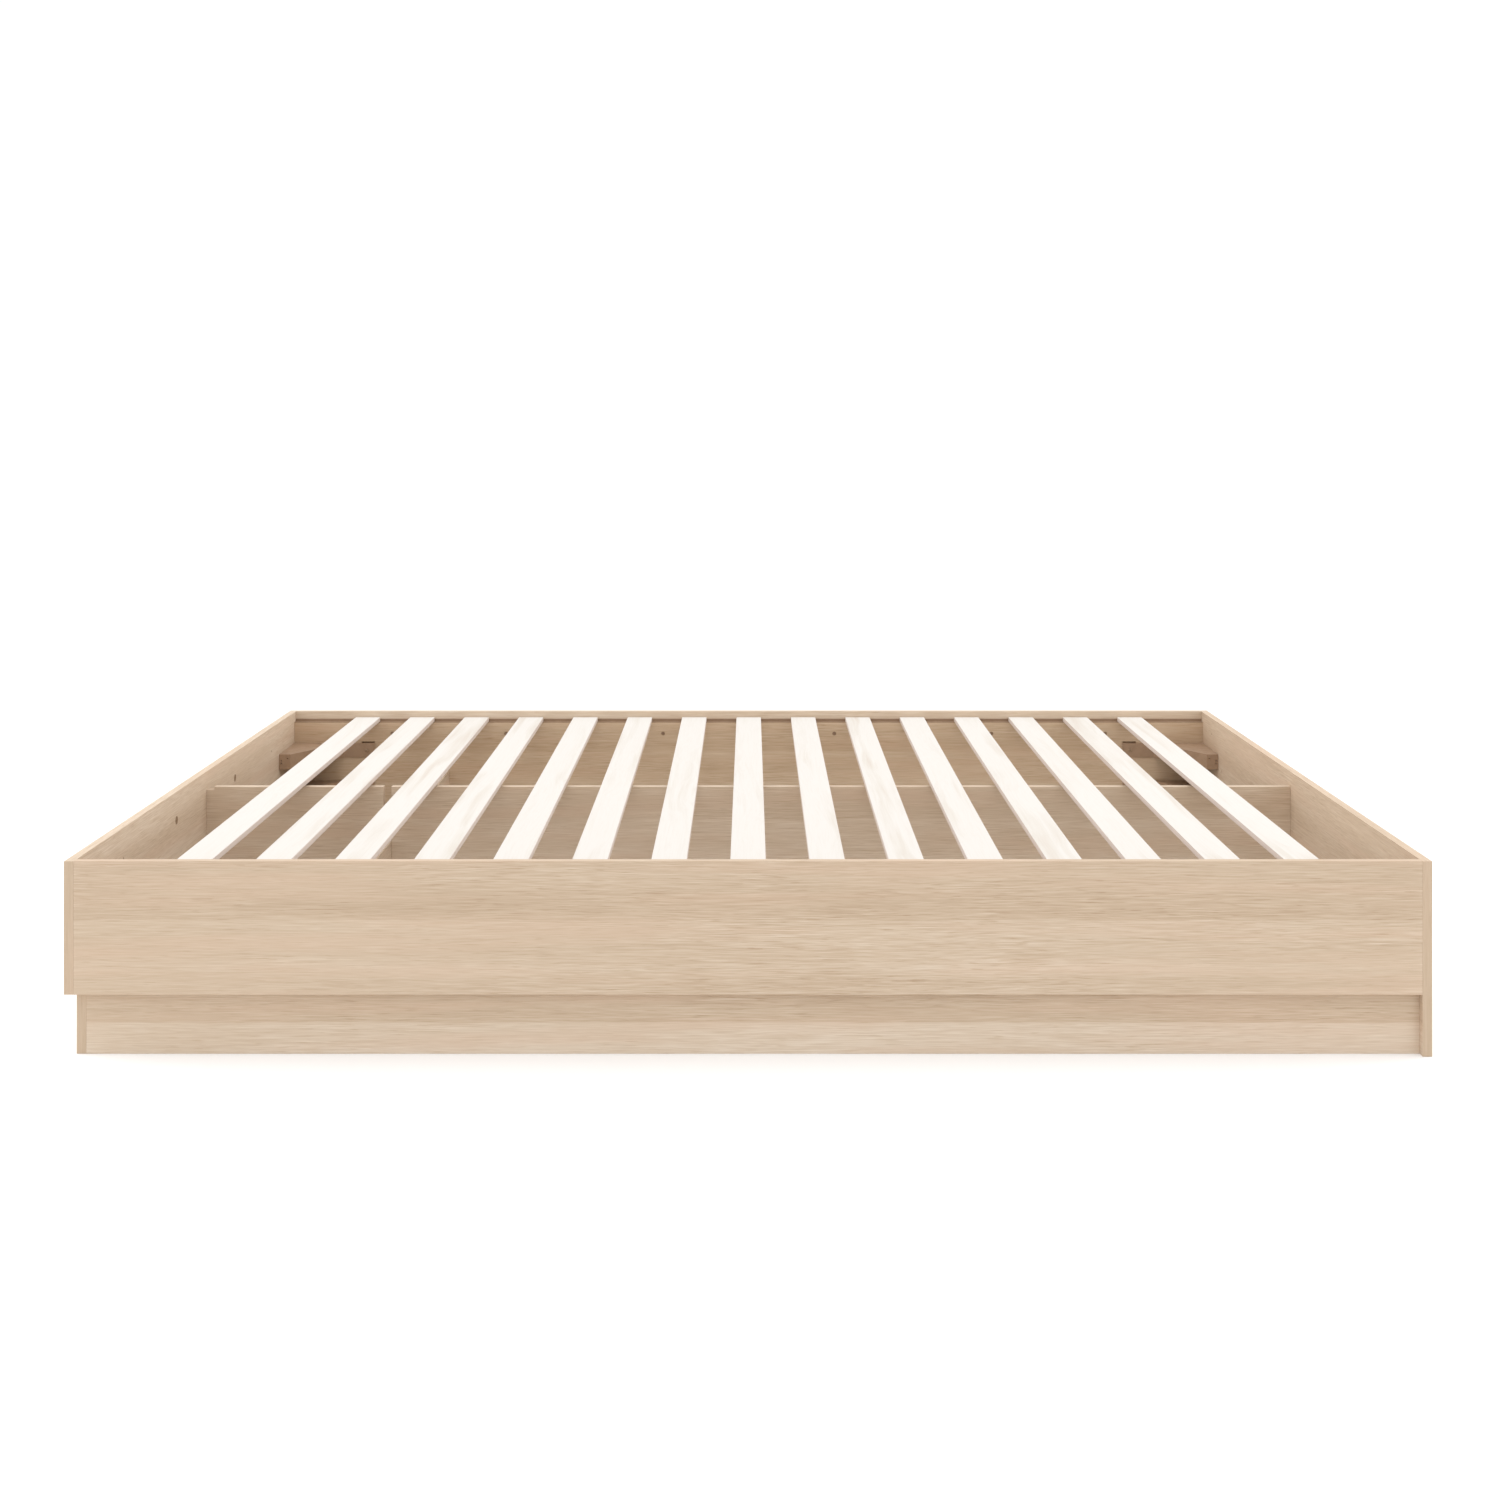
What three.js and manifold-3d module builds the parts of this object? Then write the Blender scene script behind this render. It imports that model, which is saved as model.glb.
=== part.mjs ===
// A low platform bed frame: oak-faced boards, pale slats, pressed-steel corner brackets and screws.
// Millimetres, +Z up. The origin is on the floor at the middle of the frame,
// +X points to the head end and +Y to the rear side.

import * as THREE from 'three';
import { mergeVertices } from 'three/addons/utils/BufferGeometryUtils.js';
import Module from 'manifold-3d';

const wasm = await Module();
wasm.setup();

// ---- Driving dimensions ------------------------------------------------------------------

const FRAME_LENGTH = 2100;          // outer faces of the end panels, along X
const FRAME_WIDTH = 1580;           // outer faces of the side rails, along Y
const FRAME_HEIGHT = 300;           // floor to the top edge of rails and panels
const BOARD = 15;                   // thickness of every board
const UNDERCUT_HEIGHT = 95;         // floor to the lower edge of the hung rails and foot panel
const LEDGE_DROP = 23;              // rail top to the slats' undersides
const CENTRE_CORNER_CUT = 6;        // depth of the step at the centre board's foot end, one board long
const CENTRE_BOARD_BELOW_LEDGE = 6; // the slats' undersides to the top edge of the centre board
const FOOT_PLINTH_LAP = 15;         // the foot plinth board laps the foot panel above the undercut
const CROSS_BOARD_HEIGHT = 166;
const CROSS_BOARD_FROM_FOOT = 338;  // foot panel's inner face to the cross board
const NOTCH_CLEARANCE = 0.5;        // round the foot plinth board, where other boards pass over it

const SLAT_COUNT = 15;
const SLAT_WIDTH = 56;
const SLAT_THICKNESS = 10;
const SLAT_END_GAP = 137.5;         // end panel to the first slat
const SLAT_LENGTH_CLEARANCE = 3;    // slat end to the outer rail, each end
const SLAT_EDGE_RADIUS = 1.5;

const SEAT_SHEET = 1;               // thin angle on each ledge, under and behind the slat ends
const SEAT_UPSTAND = 6.2;           // its upright leg, above the slats' undersides

const BRACKET_SHEET = 2.5;          // steel thickness
const BRACKET_DEPTH = 33;           // height of the folded flanges
const BRACKET_SIDE_LEG = 183;       // along the side board
const BRACKET_END_LEG = 155;        // along the end panel
const BRACKET_WEB_REACH = 112;      // where the slanted web edge meets the side flange
const BRACKET_TAB_WIDTH = 25;       // folded tab across the end leg
const BRACKET_BELOW_LEDGE = 47;     // ledge to the top of the upper brackets
const BRACKET_OVER_PLINTH = 1.5;    // foot plinth board to the underside of the lower brackets
const BRACKET_CORNER_GAP = 0.3;     // keeps the sheet clear of both boards
const BRACKET_TAB_HOLE_RADIUS = 1.6;
const BRACKET_TAB_HOLES = [[5, 14], [5, 20], [19, 9]];  // from the end panel, below the top

const KERF_LENGTH = 30;             // slot in the side board over the end of the side flange
const KERF_HEIGHT = 3.5;
const KERF_DEPTH = 8;

const SCREW_SIDES = 12;
const CAM_SIDES = 24;
const SCREW_CLEARANCE = 0.3;
const SCREW_SEAT_GAP = 0.2;              // under a pan head
const RAIL_SCREW_X = [195, 553, 812];   // either side of the middle
const RAIL_SCREW_BELOW_LEDGE = 25.5;
const RAIL_SCREW_HEAD_RADIUS = 4.2;
const RAIL_SCREW_HEAD_HEIGHT = 2.5;
const RAIL_SCREW_RADIUS = 2;
const RAIL_SCREW_SUNK = 0.8;            // head below the board's face
const RAIL_SCREW_TIP_COVER = 5;         // wood left between the tip and the outer face
const BRACKET_SCREW_FROM_END = 17;
const BRACKET_SCREW_HEAD_RADIUS = 4;
const BRACKET_SCREW_HEAD_HEIGHT = 2.2;
const BRACKET_SCREW_RADIUS = 1.8;
const BRACKET_SCREW_BITE = 9;           // depth in the side board

const CAM_RADIUS = 7.5;
const CAM_DEPTH = 9;
const CAM_SPACING = 428;                // between the two cam discs
const CAM_BELOW_TOP = 52;
const PILOT_RADIUS = 2.5;
const PILOT_DEPTH = 8;
const FOOT_PILOTS = [[226, 52]];             // from the side board's inner face, below the top edge
const HEAD_PILOTS = [[87, 37], [186, 102]];

// ---- Derived places ----------------------------------------------------------------------

const END_FACE = FRAME_LENGTH / 2 - BOARD;       // inner face of both end panels
const RAIL_FACE = FRAME_WIDTH / 2 - BOARD;       // inner face of both outer rails
const SIDE_FACE = RAIL_FACE - BOARD;             // inner face of both inner side boards
const LEDGE_TOP = FRAME_HEIGHT - LEDGE_DROP;
const FOOT_PLINTH_HEIGHT = UNDERCUT_HEIGHT + FOOT_PLINTH_LAP;
const CROSS_BOARD_X = -END_FACE + CROSS_BOARD_FROM_FOOT;
const RAIL_SCREW_Z = LEDGE_TOP - RAIL_SCREW_BELOW_LEDGE;
const BRACKET_TOPS = {
  upper: LEDGE_TOP - BRACKET_BELOW_LEDGE,
  lower: FOOT_PLINTH_HEIGHT + BRACKET_OVER_PLINTH + BRACKET_DEPTH,
};
const CORNERS = [
  { name: 'foot_front', endSign: -1, sideSign: -1 },
  { name: 'foot_rear', endSign: -1, sideSign: 1 },
  { name: 'head_front', endSign: 1, sideSign: -1 },
  { name: 'head_rear', endSign: 1, sideSign: 1 },
];
const SIDES = [{ name: 'front', sign: -1 }, { name: 'rear', sign: 1 }];

// ---- Materials ---------------------------------------------------------------------------

const oak = new THREE.MeshStandardMaterial({ color: 0xd2bca0, roughness: 0.55, metalness: 0 });
const pine = new THREE.MeshStandardMaterial({ color: 0xf6efe4, roughness: 0.6, metalness: 0 });
const brownSteel = new THREE.MeshStandardMaterial({ color: 0x7a5a42, roughness: 0.45, metalness: 0.3 });
const zincSteel = new THREE.MeshStandardMaterial({ color: 0xb9b4aa, roughness: 0.35, metalness: 0.9 });
const darkSteel = new THREE.MeshStandardMaterial({ color: 0x4a3c30, roughness: 0.4, metalness: 0.8 });

// ---- Shape helpers -----------------------------------------------------------------------

// A box between two opposite corners.
function boxBetween(low, high) {
  const size = high.map((value, axis) => value - low[axis]);
  const box = new THREE.BoxGeometry(...size);
  box.translate(...low.map((value, axis) => value + size[axis] / 2));
  return box;
}

// A flat plate: the outline [x, y] raised from z = bottom by the given height.
function plate(outline, bottom, height) {
  const shape = new THREE.Shape(outline.map(([x, y]) => new THREE.Vector2(x, y)));
  const geometry = new THREE.ExtrudeGeometry(shape, { depth: height, bevelEnabled: false });
  geometry.translate(0, 0, bottom);
  return geometry;
}

// A turned solid on the Y axis: the profile is [radius, distance along +Y], from axis to axis.
function turned(profile, sides = SCREW_SIDES) {
  const points = profile.map(([radius, along]) => new THREE.Vector2(radius, along));
  return new THREE.LatheGeometry(points, sides);
}

// The same geometry mirrored by signs, with its faces still pointing out.
function mirrored(geometry, signX, signY) {
  const copy = geometry.clone().applyMatrix4(new THREE.Matrix4().makeScale(signX, signY, 1));
  if (signX * signY < 0) {
    const index = copy.index.array;
    for (let i = 0; i < index.length; i += 3) {
      [index[i], index[i + 1]] = [index[i + 1], index[i]];
    }
  }
  return copy;
}

function toSolid(geometry) {
  const bare = geometry.clone();
  bare.deleteAttribute('normal');
  bare.deleteAttribute('uv');
  const merged = mergeVertices(bare, 1e-4);
  return new wasm.Manifold(new wasm.Mesh({
    numProp: 3,
    vertProperties: new Float32Array(merged.attributes.position.array),
    triVerts: new Uint32Array(merged.index.array),
  }));
}

function toGeometry(solid) {
  const mesh = solid.getMesh();
  const geometry = new THREE.BufferGeometry();
  geometry.setAttribute('position', new THREE.BufferAttribute(mesh.vertProperties, 3));
  geometry.setIndex(new THREE.BufferAttribute(mesh.triVerts, 1));
  return geometry;
}

function cut(geometry, cutters) {
  const solid = cutters.reduce((body, cutter) => body.subtract(toSolid(cutter)), toSolid(geometry));
  return toGeometry(solid);
}

function join(geometries) {
  return toGeometry(geometries.map(toSolid).reduce((body, next) => body.add(next)));
}

// ---- Fasteners ---------------------------------------------------------------------------

// A countersunk screw that enters along +Y from y = 0, grown by a clearance for its hole.
function railScrewShape(clearance) {
  const length = 2 * BOARD - RAIL_SCREW_SUNK - RAIL_SCREW_TIP_COVER;
  const mouth = clearance > 0 ? -RAIL_SCREW_SUNK - 1 : 0;
  return turned([
    [0, mouth],
    [RAIL_SCREW_HEAD_RADIUS + clearance, mouth],
    [RAIL_SCREW_HEAD_RADIUS + clearance, clearance],
    [RAIL_SCREW_RADIUS + clearance, RAIL_SCREW_HEAD_HEIGHT + clearance],
    [RAIL_SCREW_RADIUS + clearance, length + clearance],
    [0, length + clearance],
  ]);
}

function railScrewPlaces(sign) {
  const places = RAIL_SCREW_X.flatMap((x) => [-x, x]).sort((a, b) => a - b);
  return places.map((x) => ({ x, y: sign * (SIDE_FACE + RAIL_SCREW_SUNK), z: RAIL_SCREW_Z }));
}

function railScrewAt(place, sign, clearance) {
  const screw = mirrored(railScrewShape(clearance), 1, sign);
  return screw.translate(place.x, place.y, place.z);
}

// A pan-head screw through the side flange into the side board, with its head inside the frame.
// Its y = 0 is the flange's inner face. A clearance above 0 gives the plain bore that takes it.
function bracketScrewAt(corner, top, clearance) {
  const reach = BRACKET_SHEET + BRACKET_CORNER_GAP + BRACKET_SCREW_BITE + clearance;
  const radius = BRACKET_SCREW_RADIUS + clearance;
  const bore = [[0, -1], [radius, -1], [radius, reach], [0, reach]];
  const screwProfile = [
    [0, -SCREW_SEAT_GAP - BRACKET_SCREW_HEAD_HEIGHT],
    [BRACKET_SCREW_HEAD_RADIUS * 0.6, -SCREW_SEAT_GAP - BRACKET_SCREW_HEAD_HEIGHT],
    [BRACKET_SCREW_HEAD_RADIUS, -SCREW_SEAT_GAP - BRACKET_SCREW_HEAD_HEIGHT / 2],
    [BRACKET_SCREW_HEAD_RADIUS, -SCREW_SEAT_GAP],
    [radius, -SCREW_SEAT_GAP],
    [radius, reach],
    [0, reach],
  ];
  const screw = turned(clearance > 0 ? bore : screwProfile);
  screw.translate(
    END_FACE - BRACKET_SIDE_LEG + BRACKET_SCREW_FROM_END,
    SIDE_FACE - BRACKET_CORNER_GAP - BRACKET_SHEET,
    top - BRACKET_DEPTH / 2,
  );
  return mirrored(screw, corner.endSign, corner.sideSign);
}

// The small holes of one end panel, the same on both sides of the middle.
function pilotHoles(endSign, pilots) {
  return SIDES.flatMap(({ sign }) => pilots.map(([fromSide, below]) => endPanelDisc(
    endSign, sign * (SIDE_FACE - fromSide), FRAME_HEIGHT - below, PILOT_RADIUS, PILOT_DEPTH, 1)));
}

// A round plug or hole in an end panel, sunk from its inner face.
function endPanelDisc(endSign, y, z, radius, depth, above) {
  const sides = radius > PILOT_RADIUS ? CAM_SIDES : SCREW_SIDES;
  const disc = turned([[0, -above], [radius, -above], [radius, depth], [0, depth]], sides);
  disc.rotateZ(-endSign * Math.PI / 2);
  return disc.translate(endSign * END_FACE, y, z);
}

// ---- Corner bracket ----------------------------------------------------------------------

// The bracket of the rear head corner: u runs from the end panel along -X, v from the side board along -Y.
function bracketShape(top) {
  const bottom = top - BRACKET_DEPTH;
  const x = (u) => END_FACE - BRACKET_CORNER_GAP - u;
  const y = (v) => SIDE_FACE - BRACKET_CORNER_GAP - v;
  const upright = (outline) => plate(outline.map(([u, v]) => [x(u), y(v)]), bottom, BRACKET_DEPTH);
  const sideFlange = upright([[0, 0], [BRACKET_SIDE_LEG, 0], [BRACKET_SIDE_LEG, BRACKET_SHEET],
    [0, BRACKET_SHEET]]);
  const endFlange = upright([[0, 0], [BRACKET_SHEET, 0], [BRACKET_SHEET, BRACKET_END_LEG],
    [0, BRACKET_END_LEG]]);
  const tab = upright([[0, BRACKET_END_LEG - BRACKET_SHEET],
    [BRACKET_TAB_WIDTH, BRACKET_END_LEG - BRACKET_SHEET], [BRACKET_TAB_WIDTH, BRACKET_END_LEG],
    [0, BRACKET_END_LEG]]);
  const slant = upright([[BRACKET_WEB_REACH, 0], [BRACKET_WEB_REACH, BRACKET_SHEET],
    [BRACKET_TAB_WIDTH, BRACKET_END_LEG], [BRACKET_TAB_WIDTH - BRACKET_SHEET, BRACKET_END_LEG],
    [BRACKET_TAB_WIDTH - BRACKET_SHEET, BRACKET_END_LEG - BRACKET_SHEET],
    [BRACKET_WEB_REACH - BRACKET_SHEET, BRACKET_SHEET / 2], [BRACKET_WEB_REACH - BRACKET_SHEET, 0]]);
  const webOutline = [[0, 0], [BRACKET_WEB_REACH, 0], [BRACKET_WEB_REACH, BRACKET_SHEET],
    [BRACKET_TAB_WIDTH, BRACKET_END_LEG], [0, BRACKET_END_LEG]];
  const web = plate(webOutline.map(([u, v]) => [x(u), y(v)]), top - BRACKET_SHEET, BRACKET_SHEET);
  return join([sideFlange, endFlange, tab, slant, web]);
}

// The three small holes of the tab, bored along Y.
function bracketTabHoles(top) {
  const bore = [[0, 0], [BRACKET_TAB_HOLE_RADIUS, 0], [BRACKET_TAB_HOLE_RADIUS, 4 * BRACKET_SHEET],
    [0, 4 * BRACKET_SHEET]];
  return BRACKET_TAB_HOLES.map(([fromPanel, below]) => turned(bore).translate(
    END_FACE - fromPanel,
    SIDE_FACE - BRACKET_END_LEG - BRACKET_SHEET,
    top - below,
  ));
}

// The slot in the side board over the free end of the side flange.
function kerfAt(corner, top) {
  const endX = END_FACE - BRACKET_SIDE_LEG;
  const slot = boxBetween(
    [endX, SIDE_FACE - 1, top],
    [endX + KERF_LENGTH, SIDE_FACE + KERF_DEPTH, top + KERF_HEIGHT],
  );
  return mirrored(slot, corner.endSign, corner.sideSign);
}

// ---- Boards ------------------------------------------------------------------------------

function outerRail(sign) {
  const inner = sign * RAIL_FACE;
  const outer = sign * FRAME_WIDTH / 2;
  const board = boxBetween(
    [-END_FACE, Math.min(inner, outer), UNDERCUT_HEIGHT],
    [END_FACE, Math.max(inner, outer), FRAME_HEIGHT],
  );
  return cut(board, railScrewPlaces(sign).map((place) => railScrewAt(place, sign, SCREW_CLEARANCE)));
}

function innerSideBoard(sign) {
  const inner = sign * SIDE_FACE;
  const outer = sign * RAIL_FACE;
  const board = boxBetween(
    [-END_FACE, Math.min(inner, outer), 0],
    [END_FACE, Math.max(inner, outer), LEDGE_TOP - SEAT_SHEET],
  );
  const corners = CORNERS.filter((corner) => corner.sideSign === sign);
  const tops = Object.values(BRACKET_TOPS);
  const kerfs = corners.flatMap((corner) => tops.map((top) => kerfAt(corner, top)));
  const pilots = corners.flatMap((corner) => tops.map((top) => bracketScrewAt(corner, top, SCREW_CLEARANCE)));
  const holes = railScrewPlaces(sign).map((place) => railScrewAt(place, sign, SCREW_CLEARANCE));
  return cut(board, [plinthNotch(), ...kerfs, ...pilots, ...holes]);
}

// The thin angle on one ledge: a flat leg under the slat ends, and an upright leg against the rail.
function seatAngle(sign) {
  const flat = boxBetween(
    [-END_FACE, SIDE_FACE, LEDGE_TOP - SEAT_SHEET],
    [END_FACE, RAIL_FACE, LEDGE_TOP],
  );
  const upright = boxBetween(
    [-END_FACE, RAIL_FACE - SEAT_SHEET, LEDGE_TOP - SEAT_SHEET],
    [END_FACE, RAIL_FACE, LEDGE_TOP + SEAT_UPSTAND],
  );
  return mirrored(join([flat, upright]), 1, sign);
}

// The space that the foot plinth board takes out of the boards that pass over it.
function plinthNotch() {
  return boxBetween(
    [-END_FACE - 1, -FRAME_WIDTH, -1],
    [-END_FACE + BOARD, FRAME_WIDTH, FOOT_PLINTH_HEIGHT + NOTCH_CLEARANCE],
  );
}

function footPlinthBoard() {
  return boxBetween([-END_FACE, -RAIL_FACE, 0], [-END_FACE + BOARD, RAIL_FACE, FOOT_PLINTH_HEIGHT]);
}

function footPanel() {
  const board = boxBetween(
    [-FRAME_LENGTH / 2, -FRAME_WIDTH / 2, UNDERCUT_HEIGHT],
    [-END_FACE, FRAME_WIDTH / 2, FRAME_HEIGHT],
  );
  const z = FRAME_HEIGHT - CAM_BELOW_TOP;
  const cams = SIDES.map(({ sign }) => endPanelDisc(
    -1, sign * CAM_SPACING / 2, z, CAM_RADIUS + SCREW_CLEARANCE, CAM_DEPTH + SCREW_CLEARANCE, 1));
  return cut(board, [...cams, ...pilotHoles(-1, FOOT_PILOTS)]);
}

function headPanel() {
  const board = boxBetween([END_FACE, -FRAME_WIDTH / 2, 0], [FRAME_LENGTH / 2, FRAME_WIDTH / 2, FRAME_HEIGHT]);
  return cut(board, pilotHoles(1, HEAD_PILOTS));
}

// The small step that the foot end of the centre board has in its top corner.
function centreCornerStep() {
  const top = LEDGE_TOP - CENTRE_BOARD_BELOW_LEDGE;
  return boxBetween(
    [-END_FACE - 1, -BOARD, top - CENTRE_CORNER_CUT],
    [-END_FACE + BOARD, BOARD, top + 1],
  );
}

function centreBoard(from, to) {
  return boxBetween([from, -BOARD / 2, 0], [to, BOARD / 2, LEDGE_TOP - CENTRE_BOARD_BELOW_LEDGE]);
}

function crossBoard() {
  return boxBetween([CROSS_BOARD_X, -SIDE_FACE, 0], [CROSS_BOARD_X + BOARD, SIDE_FACE, CROSS_BOARD_HEIGHT]);
}

// ---- Slats -------------------------------------------------------------------------------

// A slat across the frame: a rectangle with eased edges, drawn in X and Z and pushed along Y.
function slatShape() {
  const halfWidth = SLAT_WIDTH / 2;
  const halfThickness = SLAT_THICKNESS / 2;
  const ease = SLAT_EDGE_RADIUS;
  const outline = new THREE.Shape();
  outline.moveTo(-halfWidth + ease, -halfThickness);
  outline.lineTo(halfWidth - ease, -halfThickness);
  outline.absarc(halfWidth - ease, -halfThickness + ease, ease, -Math.PI / 2, 0);
  outline.lineTo(halfWidth, halfThickness - ease);
  outline.absarc(halfWidth - ease, halfThickness - ease, ease, 0, Math.PI / 2);
  outline.lineTo(-halfWidth + ease, halfThickness);
  outline.absarc(-halfWidth + ease, halfThickness - ease, ease, Math.PI / 2, Math.PI);
  outline.lineTo(-halfWidth, -halfThickness + ease);
  outline.absarc(-halfWidth + ease, -halfThickness + ease, ease, Math.PI, 1.5 * Math.PI);
  const length = 2 * (RAIL_FACE - SLAT_LENGTH_CLEARANCE);
  const options = { depth: length, bevelEnabled: false, curveSegments: 3 };
  const slat = new THREE.ExtrudeGeometry(outline, options);
  slat.translate(0, 0, -length / 2);
  slat.rotateX(Math.PI / 2);
  return slat;
}

// ---- Assembly ----------------------------------------------------------------------------

const group = new THREE.Group();

function addPiece(name, geometry, material, place = [0, 0, 0]) {
  const mesh = new THREE.Mesh(geometry, material.clone());
  mesh.name = name;
  mesh.position.set(...place);
  group.add(mesh);
}

function addSideFrames() {
  for (const { name, sign } of SIDES) {
    addPiece(`outer_rail_${name}`, outerRail(sign), oak);
    addPiece(`inner_side_board_${name}`, innerSideBoard(sign), oak);
    addPiece(`slat_seat_angle_${name}`, seatAngle(sign), brownSteel);
  }
}

function addBoards() {
  addPiece('foot_panel', footPanel(), oak);
  addPiece('head_panel', headPanel(), oak);
  addPiece('foot_plinth_board', footPlinthBoard(), oak);
  const footCentre = cut(centreBoard(-END_FACE, CROSS_BOARD_X), [plinthNotch(), centreCornerStep()]);
  addPiece('centre_board_foot', footCentre, oak);
  addPiece('centre_board_head', centreBoard(CROSS_BOARD_X + BOARD, END_FACE), oak);
  addPiece('cross_board', crossBoard(), oak);
}

function addSlats() {
  const first = -END_FACE + SLAT_END_GAP + SLAT_WIDTH / 2;
  const pitch = -2 * first / (SLAT_COUNT - 1);
  for (let i = 0; i < SLAT_COUNT; i += 1) {
    const number = String(i + 1).padStart(2, '0');
    addPiece(`slat_${number}`, slatShape(), pine, [first + i * pitch, 0, LEDGE_TOP + SLAT_THICKNESS / 2]);
  }
}

function addBrackets() {
  for (const [level, top] of Object.entries(BRACKET_TOPS)) {
    const drilled = cut(bracketShape(top), bracketTabHoles(top));
    for (const corner of CORNERS) {
      const screwHole = bracketScrewAt(corner, top, SCREW_CLEARANCE);
      const placed = mirrored(drilled, corner.endSign, corner.sideSign);
      addPiece(`bracket_${corner.name}_${level}`, cut(placed, [screwHole]), brownSteel);
      addPiece(`bracket_screw_${corner.name}_${level}`, bracketScrewAt(corner, top, 0), zincSteel);
    }
  }
}

function addRailScrews() {
  for (const { name, sign } of SIDES) {
    railScrewPlaces(sign).forEach((place, i) => {
      addPiece(`rail_screw_${name}_${i + 1}`, railScrewAt(place, sign, 0), darkSteel);
    });
  }
}

function addCams() {
  for (const { name, sign } of SIDES) {
    const z = FRAME_HEIGHT - CAM_BELOW_TOP;
    const disc = endPanelDisc(-1, sign * CAM_SPACING / 2, z, CAM_RADIUS, CAM_DEPTH, 0);
    addPiece(`foot_panel_cam_${name}`, disc, darkSteel);
  }
}

addSideFrames();
addBoards();
addSlats();
addBrackets();
addRailScrews();
addCams();

export default group;
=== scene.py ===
"""Looks of a low platform bed frame: oak-faced boards, pale slats, steel corner brackets, screws and caps."""

import logging
import math
from dataclasses import dataclass
from enum import Enum
from typing import Any, Callable, Optional, Sequence

import bmesh
import bpy
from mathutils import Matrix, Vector


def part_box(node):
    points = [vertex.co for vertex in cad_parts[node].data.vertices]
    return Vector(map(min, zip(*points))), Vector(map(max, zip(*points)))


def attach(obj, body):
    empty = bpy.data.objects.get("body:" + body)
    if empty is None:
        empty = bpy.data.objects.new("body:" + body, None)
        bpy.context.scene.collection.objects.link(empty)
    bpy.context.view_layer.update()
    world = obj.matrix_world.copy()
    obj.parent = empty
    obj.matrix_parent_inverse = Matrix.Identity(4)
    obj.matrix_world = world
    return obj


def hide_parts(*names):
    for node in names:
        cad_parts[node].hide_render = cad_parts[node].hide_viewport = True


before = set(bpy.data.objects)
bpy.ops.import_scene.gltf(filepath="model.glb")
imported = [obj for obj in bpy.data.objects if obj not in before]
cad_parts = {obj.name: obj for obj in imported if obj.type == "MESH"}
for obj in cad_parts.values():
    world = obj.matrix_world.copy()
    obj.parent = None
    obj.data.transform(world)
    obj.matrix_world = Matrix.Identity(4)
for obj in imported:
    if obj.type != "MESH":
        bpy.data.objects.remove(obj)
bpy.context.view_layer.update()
BODY = "root"
MM = 0.001
LOG = logging.getLogger("bed_frame")

Colour = tuple[float, float, float, float]
Point = tuple[float, float, float]


# ---- Names of the pieces -----------------------------------------------------------------

SIDES = ("front", "rear")
CORNERS = ("foot_front", "foot_rear", "head_front", "head_rear")
LEVELS = ("upper", "lower")


class Grain(Enum):
    """The direction in which a board's grain runs, as the turn about Z that brings it onto X."""

    ALONG_LENGTH = 0.0
    ACROSS_WIDTH = -90.0


class Slot(Enum):
    """The record's material slots."""

    OAK = "oak_board"
    SLAT = "pale_slat"
    BRACKET = "bracket_steel"
    ZINC = "zinc_screw"
    DARK = "dark_screw"


# ---- Node and colour helpers -------------------------------------------------------------


def linear(code: str) -> Colour:
    """Turns a display colour such as "#D2BCA2" into the linear values that shaders take.

    Args:
        code: Six hexadecimal digits after a hash sign.

    Returns:
        Red, green and blue from 0 to 1, and an alpha of 1.
    """
    parts = [int(code[i:i + 2], 16) / 255 for i in (1, 3, 5)]
    red, green, blue = (p / 12.92 if p <= 0.04045 else ((p + 0.055) / 1.055) ** 2.4 for p in parts)
    return red, green, blue, 1.0


def add_node(tree: bpy.types.NodeTree, kind: str, inputs: Optional[dict[Any, Any]] = None,
             stops: Optional[Sequence[tuple[float, Colour]]] = None, **settings: Any) -> bpy.types.Node:
    """Adds one node, with its settings, input values and links.

    Args:
        tree: The node tree that takes the node.
        kind: The node's type, such as "ShaderNodeMath".
        inputs: Values or sockets by input name or number; a socket is linked.
        stops: Colour stops (place, colour) for a ramp node.
        settings: Properties of the node, such as operation="ADD".

    Returns:
        The new node.
    """
    node = tree.nodes.new(kind)
    for key, value in settings.items():
        setattr(node, key, value)
    for key, value in (inputs or {}).items():
        if isinstance(value, bpy.types.NodeSocket):
            tree.links.new(value, node.inputs[key])
        else:
            node.inputs[key].default_value = value
    if stops:
        ramp = node.color_ramp
        while len(ramp.elements) < len(stops):
            ramp.elements.new(0.5)
        for element, (place, colour) in zip(ramp.elements, stops):
            element.position = place
            element.color = colour
    return node


def new_material(name: str) -> tuple[bpy.types.Material, bpy.types.NodeTree]:
    """Starts an empty node material.

    Args:
        name: The material's name.

    Returns:
        The material and its node tree.
    """
    material = bpy.data.materials.new(name)
    material.use_nodes = True
    material.node_tree.nodes.clear()
    return material, material.node_tree


def stretched_noise(tree: bpy.types.NodeTree, where: bpy.types.NodeSocket, scale: Point, detail: float,
                    roughness: float = 0.5) -> bpy.types.NodeSocket:
    """Adds noise whose features are 1 / scale metres long on each axis.

    Args:
        tree: The node tree.
        where: The vector socket that gives the place in metres.
        scale: Features per metre along X, Y and Z.
        detail: Octaves of finer noise.
        roughness: The strength of the finer octaves.

    Returns:
        The noise value socket, about 0.5 on average.
    """
    mapped = add_node(tree, "ShaderNodeMapping", {"Vector": where, "Scale": scale})
    noise = add_node(tree, "ShaderNodeTexNoise", {
        "Vector": mapped.outputs[0], "Scale": 1.0, "Detail": detail, "Roughness": roughness})
    return noise.outputs["Fac"]


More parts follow.
